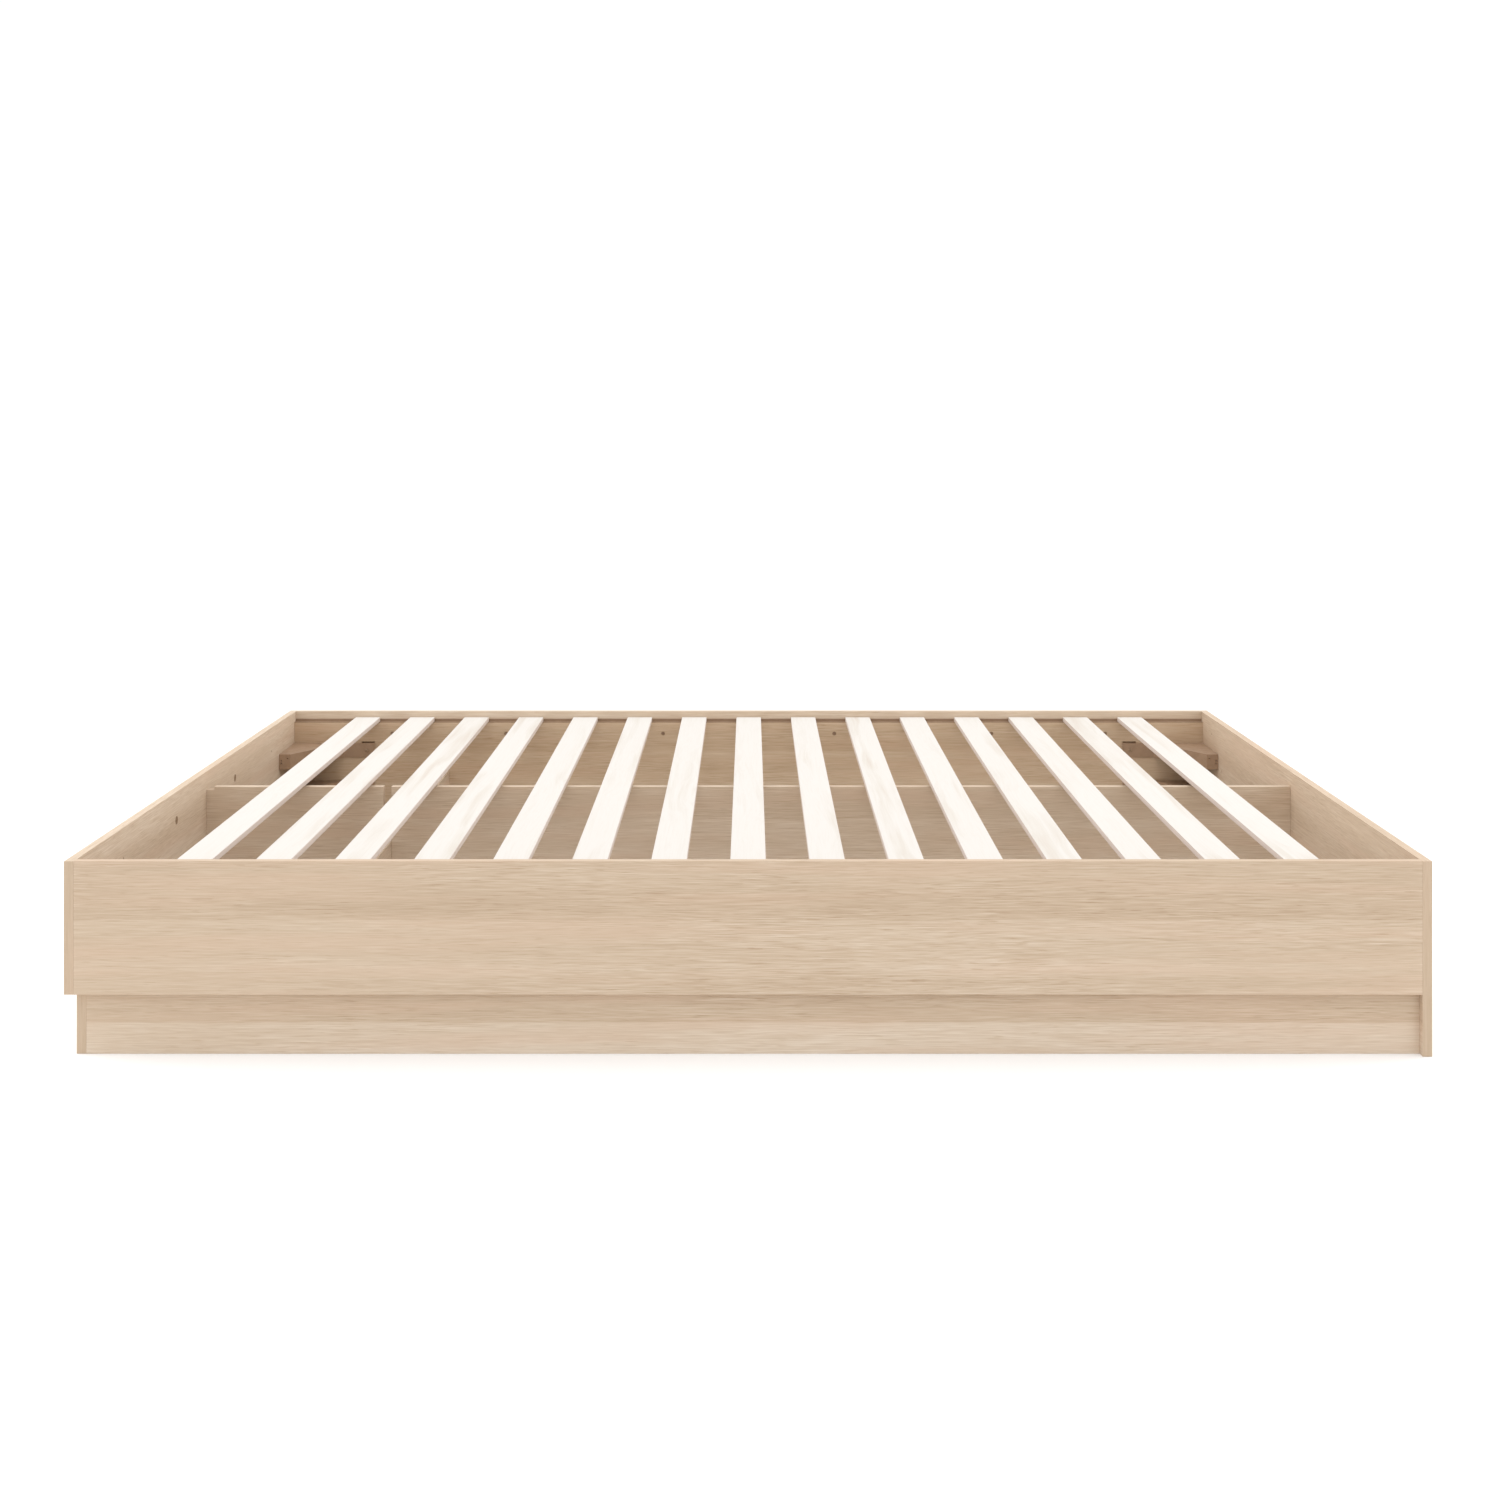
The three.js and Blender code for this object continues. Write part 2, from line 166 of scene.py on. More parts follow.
def calculate(tree: bpy.types.NodeTree, operation: str, *values: Any) -> bpy.types.NodeSocket:
    """Adds a maths node and returns its result socket."""
    return add_node(tree, "ShaderNodeMath", dict(enumerate(values)), operation=operation).outputs[0]


# ---- Finishes ----------------------------------------------------------------------------


@dataclass(frozen=True)
class OakFacing:
    """Matt oak-pattern facing on board.

    It gives the eye calm pale tan stave tones, fine straight streaks, short darker pores, and painted light
    and shade by height.
    """

    name: str
    grain: Grain
    # Painted light: raises the whole tone, so that one batch of the same oak renders lighter.
    painted_light_lift: float = 0.0
    figure: float = 0.24
    deep: str = "#AC9277"
    middle: str = "#C8B39B"
    light: str = "#DFD0BE"
    blush: str = "#D1B59D"
    board_height: float = 0.300
    # Tones by height up the board, in metres. The sharp steps are stave joints. In part painted light and
    # shade: the light tones near the floor are raised as painted light, the dip at 88 to 97 mm is a painted
    # shadow under the rail's overhang, and the tones near the top are lowered as painted shade.
    height_tones: tuple[tuple[float, float], ...] = (
        (0.0, 0.25), (0.047, 0.18), (0.049, -0.08), (0.080, -0.09), (0.088, -0.13), (0.094, -0.18),
        (0.097, 0.01), (0.115, -0.05), (0.133, 0.03), (0.141, 0.06), (0.143, 0.01), (0.165, -0.03),
        (0.209, 0.02), (0.2105, -0.09), (0.230, -0.12), (0.260, -0.07), (0.285, -0.08), (0.300, -0.12))
    banding_tone: float = 0.36

    def _grain_space(self, tree: bpy.types.NodeTree) -> tuple[bpy.types.NodeSocket, bpy.types.NodeSocket]:
        """Turns object places so that X runs along the grain, and up the banding on a board's ends.

        Args:
            tree: The node tree.

        Returns:
            The place in grain space, in metres, and a socket that is 1 on the ends.
        """
        place = add_node(tree, "ShaderNodeTexCoord")
        turn = (0.0, 0.0, math.radians(self.grain.value))
        along = add_node(tree, "ShaderNodeMapping", {"Vector": place.outputs["Object"], "Rotation": turn})
        normal = add_node(tree, "ShaderNodeMapping", {"Vector": place.outputs["Normal"], "Rotation": turn})
        on_end = add_node(tree, "ShaderNodeSeparateXYZ", {0: normal.outputs[0]})
        is_end = calculate(tree, "GREATER_THAN", calculate(tree, "ABSOLUTE", on_end.outputs[0]), 0.7)
        upright = add_node(tree, "ShaderNodeMapping", {
            "Vector": along.outputs[0], "Rotation": (0.0, math.radians(90), 0.0)})
        chosen = add_node(tree, "ShaderNodeMix", {0: is_end, 4: along.outputs[0], 5: upright.outputs[0]},
                          data_type="VECTOR")
        return chosen.outputs[1], is_end

    def _wavy(self, tree: bpy.types.NodeTree, space: bpy.types.NodeSocket) -> bpy.types.NodeSocket:
        """Lets the grain wander a few millimetres off the straight.

        Args:
            tree: The node tree.
            space: The place in grain space.

        Returns:
            The vector socket of the wandering place.
        """
        wander = stretched_noise(tree, space, (1.6, 6.0, 8.0), 2.0)
        shift = calculate(tree, "MULTIPLY_ADD", wander, 0.012, -0.006)
        offset = add_node(tree, "ShaderNodeCombineXYZ", {1: shift, 2: shift})
        moved = add_node(tree, "ShaderNodeVectorMath", {0: space, 1: offset.outputs[0]}, operation="ADD")
        return moved.outputs[0]

    def _height_tone_with_painted_light(self, tree: bpy.types.NodeTree, space: bpy.types.NodeSocket) -> bpy.types.NodeSocket:
        """Gives the long stave bands up the board their tones, with clean joint lines between them, and
        paints light and shade by height.

        Args:
            tree: The node tree.
            space: The place in grain space.

        Returns:
            A tone socket, about 0 on average.
        """
        height = add_node(tree, "ShaderNodeSeparateXYZ", {0: space}).outputs[2]
        share = calculate(tree, "DIVIDE", height, self.board_height)
        stops = [
            (up / self.board_height, (0.5 + tone, 0.5 + tone, 0.5 + tone, 1.0))
            for up, tone in self.height_tones
        ]
        tone = add_node(tree, "ShaderNodeValToRGB", {0: share}, stops=stops)
        strength = stretched_noise(tree, space, (1.6, 1.0, 3.0), 1.0)
        depth = add_node(tree, "ShaderNodeMapRange", {0: strength, 1: 0.35, 2: 0.65, 3: 0.70, 4: 1.30})
        return calculate(tree, "MULTIPLY", calculate(tree, "SUBTRACT", tone.outputs[0], 0.5),
                         depth.outputs[0])

    def material(self) -> bpy.types.Material:
        """Builds the facing.

        Returns:
            The material.
        """
        material, tree = new_material(self.name)
        space, is_end = self._grain_space(tree)
        wavy = self._wavy(tree, space)
        bands = stretched_noise(tree, wavy, (1.3, 15.0, 26.0), 2.0)
        streaks = stretched_noise(tree, wavy, (8.0, 400.0, 420.0), 2.0, 0.6)
        hair = stretched_noise(tree, wavy, (20.0, 800.0, 840.0), 1.0, 0.6)
        pore_field = stretched_noise(tree, wavy, (30.0, 560.0, 600.0), 1.0)
        pores = add_node(tree, "ShaderNodeMapRange", {0: pore_field, 1: 0.62, 2: 0.72, 3: 0.0, 4: 1.0})
        calm = stretched_noise(tree, space, (2.3, 12.0, 17.0), 2.0)
        lined = add_node(tree, "ShaderNodeMapRange", {0: calm, 1: 0.38, 2: 0.62, 3: 0.70, 4: 1.15})
        fine = calculate(tree, "MULTIPLY", calculate(tree, "SUBTRACT", hair, 0.5), 0.80)
        fine = calculate(tree, "MULTIPLY_ADD", calculate(tree, "SUBTRACT", streaks, 0.5), 0.46, fine)
        fine = calculate(tree, "MULTIPLY_ADD", pores.outputs[0], -0.22, fine)
        # Painted light: the batch's raise of the whole tone is added here.
        tone = calculate(tree, "ADD", self._height_tone_with_painted_light(tree, space), 0.5 + self.painted_light_lift)
        tone = calculate(tree, "MULTIPLY_ADD", calculate(tree, "SUBTRACT", bands, 0.5), self.figure, tone)
        tone = calculate(tree, "MULTIPLY_ADD", fine, lined.outputs[0], tone)
        banding = calculate(tree, "MULTIPLY_ADD", fine, 0.35, self.banding_tone)
        tone = add_node(tree, "ShaderNodeMix", {0: is_end, 2: tone, 3: banding}, data_type="FLOAT").outputs[0]
        base = add_node(tree, "ShaderNodeValToRGB", {0: tone}, stops=(
            (0.0, linear(self.deep)), (0.5, linear(self.middle)), (1.0, linear(self.light))))
        warmth = stretched_noise(tree, wavy, (1.9, 18.0, 34.0), 2.0)
        warm = add_node(tree, "ShaderNodeMapRange", {0: warmth, 1: 0.48, 2: 0.68, 3: 0.0, 4: 0.30})
        colour = add_node(tree, "ShaderNodeMix", {
            0: warm.outputs[0], 6: base.outputs[0], 7: linear(self.blush)}, data_type="RGBA")
        rough = add_node(tree, "ShaderNodeMapRange", {0: streaks, 1: 0.3, 2: 0.7, 3: 0.50, 4: 0.60})
        relief = calculate(tree, "MULTIPLY_ADD", pores.outputs[0], -1.0, streaks)
        bump = add_node(tree, "ShaderNodeBump", {
            "Strength": 0.25, "Distance": 0.15 * MM, "Height": relief})
        shader = add_node(tree, "ShaderNodeBsdfPrincipled", {
            "Base Color": colour.outputs[2], "Roughness": rough.outputs[0],
            "Specular IOR Level": 0.35, "Normal": bump.outputs[0]})
        add_node(tree, "ShaderNodeOutputMaterial", {"Surface": shader.outputs[0]})
        return material


# Each batch is a copy of the same oak. Painted light: the raised tones make the rear rail, centre boards and
# foot and head boards lighter than the front rails. Painted shade: the rear inner side board takes a darker,
# warmer palette.
BOARD_BATCHES = (
    (OakFacing("oak_facing_rails", Grain.ALONG_LENGTH), ("outer_rail_front", "inner_side_board_front")),
    (OakFacing("oak_facing_rear_rail", Grain.ALONG_LENGTH, 0.18, 0.20), ("outer_rail_rear",)),
    (OakFacing("oak_facing_painted_shade_rear", Grain.ALONG_LENGTH, 0.05, 0.40, "#A88A6B", "#C5AD91", "#DCCAB3", "#CEAF93"),
     ("inner_side_board_rear",)),
    (
        OakFacing("oak_facing_centre", Grain.ALONG_LENGTH, 0.12, 0.40),
        ("centre_board_foot", "centre_board_head"),
    ),
    (OakFacing("oak_facing_foot", Grain.ACROSS_WIDTH, 0.15, 0.45), ("foot_panel", "foot_plinth_board")),
    (OakFacing("oak_facing_head", Grain.ACROSS_WIDTH, 0.07, 0.30), ("head_panel", "cross_board")),
)


@dataclass(frozen=True)
class SlatTimber:
    """Planed pale softwood.

    It gives the eye a nearly white cream, with faint pinkish flame grain that differs from slat to slat.
    """

    first_centre: float
    pitch: float
    pale: str = "#D6D1CB"
    middle: str = "#CFC8BF"
    flame: str = "#BDA999"
    sawn: str = "#C6B4A8"

    def material(self) -> bpy.types.Material:
        """Builds the slats' timber.

        Returns:
            The material.
        """
        material, tree = new_material("pale_softwood")
        place = add_node(tree, "ShaderNodeTexCoord").outputs["Object"]
        parts = add_node(tree, "ShaderNodeSeparateXYZ", {0: place})
        turns = calculate(tree, "DIVIDE", calculate(tree, "SUBTRACT", parts.outputs[0], self.first_centre),
                          self.pitch)
        number = calculate(tree, "ROUND", turns)
        chance = add_node(tree, "ShaderNodeTexWhiteNoise", {"W": number}, noise_dimensions="1D")
        aside = add_node(tree, "ShaderNodeVectorMath", {
            0: chance.outputs["Color"], "Scale": 3.0}, operation="SCALE")
        own = add_node(tree, "ShaderNodeVectorMath", {0: place, 1: aside.outputs[0]}, operation="ADD")
        wander = stretched_noise(tree, own.outputs[0], (9.0, 1.7, 9.0), 2.0)
        shift = calculate(tree, "MULTIPLY_ADD", wander, 0.060, -0.030)
        offset = add_node(tree, "ShaderNodeCombineXYZ", {0: shift, 2: shift})
        wavy = add_node(tree, "ShaderNodeVectorMath", {0: own.outputs[0], 1: offset.outputs[0]},
                        operation="ADD").outputs[0]
        rings = stretched_noise(tree, wavy, (42.0, 1.1, 42.0), 2.0)
        fine = stretched_noise(tree, wavy, (330.0, 7.0, 330.0), 3.0, 0.6)
        patches = stretched_noise(tree, own.outputs[0], (11.0, 2.6, 11.0), 2.0)
        share = add_node(tree, "ShaderNodeSeparateColor", {0: chance.outputs["Color"]}).outputs[1]
        amount = add_node(tree, "ShaderNodeMapRange", {0: patches, 1: 0.38, 2: 0.66, 3: 0.0, 4: 1.0})
        figure = add_node(tree, "ShaderNodeMapRange", {0: rings, 1: 0.46, 2: 0.66, 3: 0.0, 4: 1.0})
        strength = calculate(tree, "MULTIPLY_ADD", share, 0.42, 0.16)
        tone = calculate(tree, "MULTIPLY", calculate(tree, "MULTIPLY", figure.outputs[0],
                                                     amount.outputs[0]), strength)
        tone = calculate(tree, "MULTIPLY_ADD", calculate(tree, "SUBTRACT", fine, 0.45), 0.30, tone)
        colour = add_node(tree, "ShaderNodeValToRGB", {0: tone}, stops=(
            (0.0, linear(self.pale)), (0.25, linear(self.middle)), (1.0, linear(self.flame))))
        coordinates = add_node(tree, "ShaderNodeTexCoord")
        facing = add_node(tree, "ShaderNodeSeparateXYZ", {0: coordinates.outputs["Normal"]})
        edge = add_node(tree, "ShaderNodeMapRange", {
            0: calculate(tree, "ABSOLUTE", facing.outputs[0]), 1: 0.6, 2: 0.9, 3: 0.0, 4: 0.75})
        skin = add_node(tree, "ShaderNodeMix", {
            0: edge.outputs[0], 6: colour.outputs[0], 7: linear(self.sawn)}, data_type="RGBA")
        bump = add_node(tree, "ShaderNodeBump", {"Strength": 0.2, "Distance": 0.15 * MM, "Height": fine})
        rough = add_node(tree, "ShaderNodeMapRange", {0: fine, 1: 0.3, 2: 0.7, 3: 0.62, 4: 0.74})
        shader = add_node(tree, "ShaderNodeBsdfPrincipled", {
            "Base Color": skin.outputs[2], "Roughness": rough.outputs[0],
            "Specular IOR Level": 0.30, "Normal": bump.outputs[0]})
        add_node(tree, "ShaderNodeOutputMaterial", {"Surface": shader.outputs[0]})
        return material


@dataclass(frozen=True)
class CoatedSteel:
    """Steel with a powder coat or a plated skin.

    It gives the eye a satin skin with a fine orange-peel relief and faint handling marks.
    """

    name: str
    colour: str
    worn: str
    metallic: float
    roughness: float
    grain_size: float = 0.9 * MM
    relief: float = 0.10 * MM

    def material(self) -> bpy.types.Material:
        """Builds the coat.

        Returns:
            The material.
        """
        material, tree = new_material(self.name)
        place = add_node(tree, "ShaderNodeTexCoord").outputs["Object"]
        each = 1 / self.grain_size
        peel = stretched_noise(tree, place, (each, each, each), 2.0)
        marks = stretched_noise(tree, place, (60.0, 60.0, 60.0), 4.0, 0.6)
        amount = add_node(tree, "ShaderNodeMapRange", {0: marks, 1: 0.40, 2: 0.70, 3: 0.0, 4: 0.6})
        colour = add_node(tree, "ShaderNodeMix", {
            0: amount.outputs[0], 6: linear(self.colour), 7: linear(self.worn)}, data_type="RGBA")
        rough = add_node(tree, "ShaderNodeMapRange", {
            0: marks, 1: 0.3, 2: 0.7, 3: self.roughness - 0.06, 4: self.roughness + 0.08})
        bump = add_node(tree, "ShaderNodeBump", {"Strength": 0.3, "Distance": self.relief, "Height": peel})
        shader = add_node(tree, "ShaderNodeBsdfPrincipled", {
            "Base Color": colour.outputs[2], "Roughness": rough.outputs[0], "Metallic": self.metallic,
            "Normal": bump.outputs[0]})
        add_node(tree, "ShaderNodeOutputMaterial", {"Surface": shader.outputs[0]})
        return material


BROWN_COAT = CoatedSteel("brown_powder_coat", "#A2866D", "#967A61", 0.0, 0.50)
SEAT_COAT = CoatedSteel("dark_brown_powder_coat", "#957B63", "#8A7058", 0.0, 0.55)
BRONZE_PLATE = CoatedSteel("bronze_plated_steel", "#A58D74", "#957D65", 0.6, 0.45, 0.5 * MM, 0.04 * MM)
DARK_BRONZE = CoatedSteel("dark_bronze_steel", "#9A806A", "#8A715B", 0.4, 0.45, 0.5 * MM, 0.04 * MM)
BROWN_CAP = CoatedSteel("brown_moulded_cap", "#8F7357", "#846A50", 0.0, 0.55, 0.7 * MM, 0.05 * MM)


# ---- Modelling helpers -------------------------------------------------------------------


def deselect_all() -> None:
    """Leaves nothing selected, in object mode."""
    if bpy.context.object and bpy.context.object.mode != "OBJECT":
        bpy.ops.object.mode_set(mode="OBJECT")
    bpy.ops.object.select_all(action="DESELECT")


def make_active(piece: bpy.types.Object) -> None:
    """Selects one object alone and makes it active."""
    deselect_all()
    piece.select_set(True)
    bpy.context.view_layer.objects.active = piece


def choose_faces(piece: bpy.types.Object, wanted: Callable[[Any], bool]) -> None:
    """Selects the faces of the object in edit mode that pass a test.

    Args:
        piece: The object in edit mode.
        wanted: A test of one bmesh face, by its place or normal.
    """
    bpy.ops.mesh.select_mode(type="FACE")
    bpy.ops.mesh.select_all(action="DESELECT")
    mesh = bmesh.from_edit_mesh(piece.data)
    for face in mesh.faces:
        face.select_set(wanted(face))
    bmesh.update_edit_mesh(piece.data)


def apply_modifier(piece: bpy.types.Object, kind: str, **settings: Any) -> None:
    """Adds one modifier with its settings and applies it.

    Args:
        piece: The object.
        kind: The modifier's type, such as "BEVEL".
        settings: The modifier's properties.
    """
    make_active(piece)
    modifier = piece.modifiers.new(kind.lower(), kind)
    for key, value in settings.items():
        setattr(modifier, key, value)
    bpy.ops.object.modifier_apply(modifier=modifier.name)


def turned_body(name: str, sides: int, stations: Sequence[tuple[float, float]]) -> bpy.types.Object:
    """Models a round body up the Z axis by extruding and scaling its end face.

    Args:
        name: The object's name.
        sides: The number of sides round the axis.
        stations: (radius, height) from the lower end to the upper, in metres.

    Returns:
        The closed body.
    """
    (low_radius, low), (next_radius, high) = stations[0], stations[1]
    deselect_all()
    bpy.ops.mesh.primitive_cylinder_add(
        vertices=sides, radius=low_radius, depth=high - low, end_fill_type="NGON",
        location=(0.0, 0.0, (low + high) / 2))
    piece = bpy.context.object
    piece.name = name
    bpy.ops.object.transform_apply(location=True, rotation=True, scale=True)
    bpy.ops.object.mode_set(mode="EDIT")
    top = high - 0.01 * MM
    choose_faces(piece, lambda face: face.calc_center_median().z > top)
    radius, height = low_radius, high
    for step, (wanted_radius, wanted_height) in enumerate([(next_radius, high), *stations[2:]]):
        if step:
            bpy.ops.mesh.extrude_region_move(
                TRANSFORM_OT_translate={"value": (0.0, 0.0, wanted_height - height)})
        factor = wanted_radius / radius
        bpy.ops.transform.resize(value=(factor, factor, 1.0), center_override=(0.0, 0.0, wanted_height))
        radius, height = wanted_radius, wanted_height
    bpy.ops.object.mode_set(mode="OBJECT")
    return piece


def cross_cutter(reach: float, width: float, depth: float, top: float) -> bpy.types.Object:
    """Models the tapered cross that a driver recess takes out.

    Args:
        reach: From the axis to the end of each arm, at the top.
        width: Across each arm.
        depth: Below the top.
        top: The height of the recess's mouth.

    Returns:
        The cutter.
    """
    deselect_all()
    bpy.ops.mesh.primitive_cube_add(size=1.0, location=(0.0, 0.0, top), scale=(width, width, 2 * depth))
    cutter = bpy.context.object
    bpy.ops.object.transform_apply(location=True, rotation=True, scale=True)
    bpy.ops.object.mode_set(mode="EDIT")
    choose_faces(cutter, lambda face: abs(face.normal.z) < 0.5)
    bpy.ops.mesh.extrude_faces_move(TRANSFORM_OT_shrink_fatten={"value": reach - width / 2})
    choose_faces(cutter, lambda face: face.normal.z < -0.5)
    bpy.ops.transform.resize(value=(0.45, 0.45, 1.0), center_override=(0.0, 0.0, top - depth))
    bpy.ops.object.mode_set(mode="OBJECT")
    return cutter


def cut_recess(piece: bpy.types.Object, cutter: bpy.types.Object) -> None:
    """Takes the cutter's shape out of a piece and removes the cutter.

    Args:
        piece: The piece that is cut.
        cutter: The closed shape to take out.
    """
    apply_modifier(piece, "BOOLEAN", operation="DIFFERENCE", solver="EXACT", object=cutter)
    bpy.data.objects.remove(cutter, do_unlink=True)


def placed_copy(pattern: bpy.types.Object, name: str, point: Point, outward: Point) -> bpy.types.Object:
    """Copies a pattern piece with its own mesh, turned so that its Z axis points outward.

    Args:
        pattern: The piece at the origin, along +Z.
        name: The copy's name.
        point: Where the pattern's origin goes.
        outward: The direction for the pattern's +Z.

    Returns:
        The copy, with its place in its mesh.
    """
    copy = pattern.copy()
    copy.data = pattern.data.copy()
    copy.name = name
    bpy.context.collection.objects.link(copy)
    copy.rotation_euler = Vector(outward).to_track_quat("Z", "Y").to_euler()
    copy.location = point
    make_active(copy)
    bpy.ops.object.transform_apply(location=True, rotation=True, scale=True)
    return copy


def drop_pattern(pattern: bpy.types.Object) -> None:
    """Removes a pattern piece once its copies are placed."""
    bpy.data.objects.remove(pattern, do_unlink=True)


def set_finish(piece: bpy.types.Object, material: bpy.types.Material) -> None:
    """Gives an object one material in all its slots."""
    if not piece.material_slots:
        piece.data.materials.append(material)
    for slot in piece.material_slots:
        slot.link = "OBJECT"
        slot.material = material


def dress_node(node: str, material: bpy.types.Material, ease: float, segments: int = 2) -> None:
    """Gives a CAD node its finish and eases its sharp edges, with its own mesh left as it is.

    Args:
        node: The node's name.
        material: The finish.
        ease: The width of the eased edge, in metres.
        segments: Steps round the eased edge.
    """
    piece = bpy.data.objects[node]
    set_finish(piece, material)
    weld = piece.modifiers.new("joined_corners", "WELD")
    weld.merge_threshold = 0.002 * MM
    flat = piece.modifiers.new("whole_faces", "DECIMATE")
    flat.decimate_type = "DISSOLVE"
    flat.angle_limit = math.radians(1)
    edge = piece.modifiers.new("eased_edges", "BEVEL")
    edge.width = ease
    edge.segments = segments
    edge.limit_method = "ANGLE"
    edge.angle_limit = math.radians(40)
    LOG.info("dressed %s in %s", node, material.name)


# ---- Sub-assemblies ----------------------------------------------------------------------


@dataclass
class BoardFrame:
    """Rails, inner side boards, panels, plinth board and centre support, all of faced board."""

    ease: float = 0.5 * MM

    def dress(self) -> None:
        """Faces every board, with the grain along its length."""
        for batch, nodes in BOARD_BATCHES:
            facing = batch.material()
            for node in nodes:
                dress_node(node, facing, self.ease)


@dataclass
class SlatDeck:
    """The slats across the frame."""

    count: int = 15
    ease: float = 0.4 * MM

    def _names(self) -> list[str]:
        """Lists the slats from the foot to the head."""
        return [f"slat_{number:02d}" for number in range(1, self.count + 1)]

    def dress(self) -> None:
        """Gives the slats their timber."""
        names = self._names()
        centres = [sum(corner.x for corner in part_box(name)) / 2 for name in names]
        pitch = (centres[-1] - centres[0]) / (self.count - 1)
        timber = SlatTimber(centres[0], pitch).material()
        for name in names:
            dress_node(name, timber, self.ease, 1)


@dataclass
class CornerBrackets:
    """The pressed-steel brackets in the four corners, with the screws that hold them."""

    ease: float = 0.6 * MM
    angle_ease: float = 0.2 * MM
    head_radius: float = 4.0 * MM
    head_height: float = 2.2 * MM
    shank_radius: float = 1.8 * MM
    recess_reach: float = 2.0 * MM
    recess_width: float = 0.8 * MM
    recess_depth: float = 1.3 * MM

    def _names(self) -> list[str]:
        """Lists the corner and level of every bracket, such as head_rear_upper."""
        return [f"{corner}_{level}" for corner in CORNERS for level in LEVELS]

    def _screw_pattern(self, length: float) -> bpy.types.Object:
        """Models a pan-head screw with its seat at the origin and its head along +Z.

        Args:
            length: From the seat to the tip.

        Returns:
            The pattern screw.
        """
        shank, head, tall = self.shank_radius, self.head_radius, self.head_height
        screw = turned_body("bracket_screw_pattern", 24, [
            (0.35 * shank, -length), (shank * 0.8, -length + 1.5 * MM), (shank, -length + 3 * MM),
            (shank, 0.0), (0.96 * head, 0.001 * MM), (head, 0.10 * tall), (head, 0.38 * tall),
            (0.93 * head, 0.66 * tall), (0.76 * head, 0.88 * tall), (0.50 * head, tall)])
        cut_recess(screw, cross_cutter(self.recess_reach, self.recess_width, self.recess_depth, tall))
        make_active(screw)
        bpy.ops.object.shade_smooth_by_angle(angle=math.radians(35))
        return screw

    def build(self) -> None:
        """Models the bracket screws in place of the plain ones and dresses the brackets."""
        coat, plate, seat = BROWN_COAT.material(), BRONZE_PLATE.material(), SEAT_COAT.material()
        for name in self._names():
            dress_node(f"bracket_{name}", coat, self.ease)
        for side in SIDES:
            dress_node(f"slat_seat_angle_{side}", seat, self.angle_ease)
        low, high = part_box("bracket_screw_head_rear_upper")
        pattern = self._screw_pattern(high.y - low.y - self.head_height)
        for name in self._names():
            node = f"bracket_screw_{name}"
            low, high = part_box(node)
            rear = name.endswith(("rear_upper", "rear_lower"))
            seat = low.y + self.head_height if rear else high.y - self.head_height
            point = ((low.x + high.x) / 2, seat, (low.z + high.z) / 2)
            screw = placed_copy(pattern, f"pan_screw_{name}", point, (0.0, -1.0 if rear else 1.0, 0.0))
            set_finish(screw, plate)
            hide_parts(node)
            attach(screw, BODY)
            LOG.info("modelled %s", screw.name)
        drop_pattern(pattern)


@dataclass
class RailScrews:
    """The countersunk screws that hold each outer rail on its inner side board."""

    each_side: int = 6
    head_radius: float = 4.2 * MM
    head_height: float = 2.5 * MM
    shank_radius: float = 2.0 * MM
    thread_pitch: float = 1.6 * MM
    recess_reach: float = 2.1 * MM
    recess_width: float = 0.85 * MM
    recess_depth: float = 1.6 * MM

    def _pattern(self, length: float) -> bpy.types.Object:
        """Models a countersunk screw with its head's face at the origin and its tip along -Z.

        Args:
            length: From the head's face to the tip.

        Returns:
            The pattern screw.
        """
        root = 0.72 * self.shank_radius
        stations = [(0.15 * root, -length), (root, -length + 3 * MM)]
        height = -length + 3 * MM
        while height + self.thread_pitch < -self.head_height - 4 * MM:
            stations += [(root, height + 0.5 * self.thread_pitch),
                         (self.shank_radius, height + 0.75 * self.thread_pitch),
                         (root, height + self.thread_pitch)]
            height += self.thread_pitch
        stations += [(root, -self.head_height - 0.5 * MM), (self.shank_radius, -self.head_height),
                     (0.97 * self.head_radius, -0.25 * MM), (self.head_radius, -0.12 * MM),
                     (0.97 * self.head_radius, 0.0)]
        screw = turned_body("rail_screw_pattern", 20, stations)
        cut_recess(screw, cross_cutter(self.recess_reach, self.recess_width, self.recess_depth, 0.0))
        make_active(screw)
        bpy.ops.object.shade_smooth_by_angle(angle=math.radians(35))
        return screw

    def build(self) -> None:
        """Models the rail screws in place of the plain ones."""
        bronze = DARK_BRONZE.material()
        low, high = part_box("rail_screw_rear_1")
        pattern = self._pattern(high.y - low.y)
        for side in SIDES:
            for number in range(1, self.each_side + 1):
                node = f"rail_screw_{side}_{number}"
                low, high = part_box(node)
                face = low.y if side == "rear" else high.y
                point = ((low.x + high.x) / 2, face, (low.z + high.z) / 2)
                outward = (0.0, -1.0 if side == "rear" else 1.0, 0.0)
                screw = placed_copy(pattern, f"countersunk_screw_{side}_{number}", point, outward)
                set_finish(screw, bronze)
                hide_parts(node)
                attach(screw, BODY)
                LOG.info("modelled %s", screw.name)
        drop_pattern(pattern)


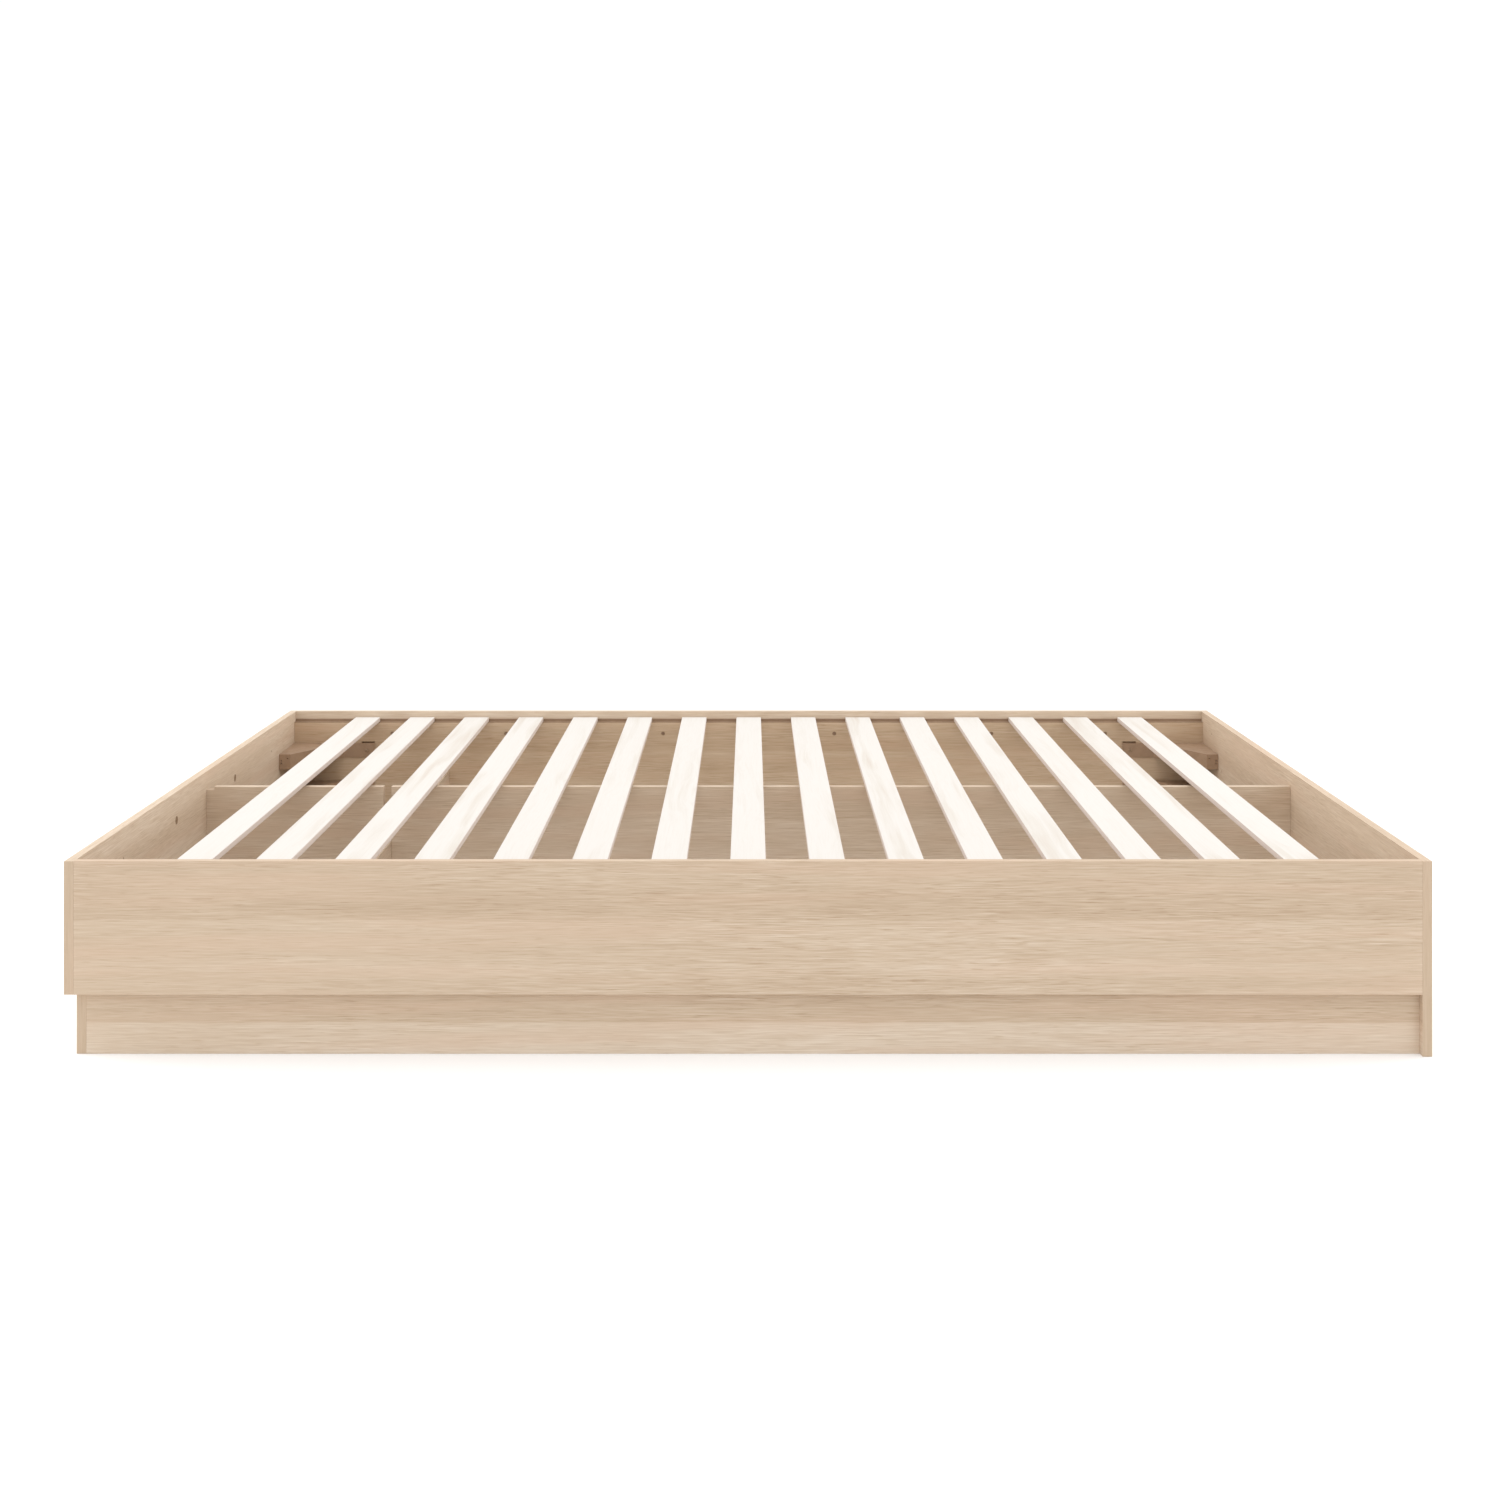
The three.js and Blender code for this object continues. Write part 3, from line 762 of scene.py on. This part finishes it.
@dataclass
class JoinCams:
    """The round fittings in the foot panel's inner face that draw it onto the plinth board."""

    recess_reach: float = 3.6 * MM
    recess_width: float = 1.3 * MM
    recess_depth: float = 2.2 * MM

    def _pattern(self, radius: float, depth: float) -> bpy.types.Object:
        """Models one fitting with its face at the origin, looking along +Z.

        Args:
            radius: The fitting's radius.
            depth: How deep it reaches.

        Returns:
            The pattern fitting.
        """
        cam = turned_body("cam_pattern", 32, [
            (0.94 * radius, -depth), (radius, -depth + 0.6 * MM), (radius, -0.5 * MM),
            (0.95 * radius, -0.02 * MM), (0.82 * radius, -0.02 * MM), (0.78 * radius, -0.5 * MM),
            (0.60 * radius, -0.55 * MM), (0.56 * radius, -0.2 * MM), (0.50 * radius, -0.15 * MM)])
        cut_recess(cam, cross_cutter(self.recess_reach, self.recess_width, self.recess_depth, 0.0))
        make_active(cam)
        bpy.ops.object.shade_smooth_by_angle(angle=math.radians(35))
        return cam

    def build(self) -> None:
        """Models the fittings in place of the plain discs."""
        moulded = BROWN_CAP.material()
        for side in SIDES:
            node = f"foot_panel_cam_{side}"
            low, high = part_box(node)
            cam = self._pattern((high.z - low.z) / 2, high.x - low.x)
            point = (high.x, (low.y + high.y) / 2, (low.z + high.z) / 2)
            placed = placed_copy(cam, f"join_cam_{side}", point, (1.0, 0.0, 0.0))
            drop_pattern(cam)
            set_finish(placed, moulded)
            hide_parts(node)
            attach(placed, BODY)
            LOG.info("modelled %s", placed.name)


@dataclass
class Studio:
    """The plain floor, soft lights and camera."""

    camera_place: Point = (0.003, -3.9863, 1.0)
    lens: float = 50.0
    shift: float = -0.23
    floor_size: float = 60.0
    floor_paint: float = 0.80
    floor_glow: float = 0.19
    sky: float = 1.04
    overhead: float = 54.0
    overhead_size: float = 5.0
    overhead_height: float = 4.0
    side: float = 48.0
    side_size: float = 2.4
    side_place: Point = (3.6, 0.0, 1.7)

    def _floor(self) -> None:
        """Lays a pale floor a hair under the boards."""
        deselect_all()
        bpy.ops.mesh.primitive_plane_add(size=self.floor_size, location=(0.0, 0.0, -0.2 * MM))
        floor = bpy.context.object
        floor.name = "studio_floor"
        material, tree = new_material("studio_floor_paint")
        shader = add_node(tree, "ShaderNodeBsdfPrincipled", {
            "Base Color": (self.floor_paint, self.floor_paint, self.floor_paint, 1.0),
            "Roughness": 0.9, "Specular IOR Level": 0.1,
            "Emission Color": (1.0, 1.0, 1.0, 1.0), "Emission Strength": self.floor_glow})
        add_node(tree, "ShaderNodeOutputMaterial", {"Surface": shader.outputs[0]})
        set_finish(floor, material)

    def _sky(self) -> None:
        """Surrounds the scene with even white light."""
        world = bpy.data.worlds.new("studio_air")
        bpy.context.scene.world = world
        world.use_nodes = True
        world.node_tree.nodes.clear()
        air = add_node(world.node_tree, "ShaderNodeBackground", {
            "Color": (1.0, 1.0, 1.0, 1.0), "Strength": self.sky})
        add_node(world.node_tree, "ShaderNodeOutputWorld", {"Surface": air.outputs[0]})

    def _light(self, name: str, place: Point, aim: Point, size: float, power: float) -> None:
        """Hangs one square soft light.

        Args:
            name: The light's name.
            place: Where it hangs.
            aim: The point it faces.
            size: Its side, in metres.
            power: Its power, in watts.
        """
        deselect_all()
        bpy.ops.object.light_add(type="AREA", location=place)
        lamp = bpy.context.object
        lamp.name = name
        lamp.data.shape = "SQUARE"
        lamp.data.size = size
        lamp.data.energy = power
        lamp.rotation_euler = (Vector(aim) - Vector(place)).to_track_quat("-Z", "Y").to_euler()
        lamp.visible_camera = False

    def _camera(self) -> None:
        """Sets the level camera in front of the long side."""
        data = bpy.data.cameras.new("front_camera")
        data.lens = self.lens
        data.sensor_width = 36.0
        data.shift_y = self.shift
        data.clip_end = 200.0
        camera = bpy.data.objects.new("front_camera", data)
        camera.location = self.camera_place
        camera.rotation_euler = (math.radians(90), 0.0, 0.0)
        bpy.context.collection.objects.link(camera)
        bpy.context.scene.camera = camera

    def build(self) -> None:
        """Sets the floor, the light, the camera and the plain display of colours."""
        self._camera()
        self._floor()
        self._sky()
        above = (0.0, 0.0, self.overhead_height)
        middle = (0.0, 0.0, 0.15)
        self._light("overhead_soft_light", above, middle, self.overhead_size, self.overhead)
        across, along, up = self.side_place
        self._light("foot_side_light", (-across, along, up), middle, self.side_size, self.side)
        self._light("head_side_light", (across, along, up), middle, self.side_size, self.side)
        bpy.context.scene.view_settings.view_transform = "Standard"
        LOG.info("set the studio")


def main() -> None:
    """Builds and dresses the bed frame, part by part."""
    logging.basicConfig(level=logging.INFO, format="%(name)s: %(message)s")
    Studio().build()
    BoardFrame().dress()
    SlatDeck().dress()
    CornerBrackets().build()
    RailScrews().build()
    JoinCams().build()


if __name__ == "__main__":
    main()
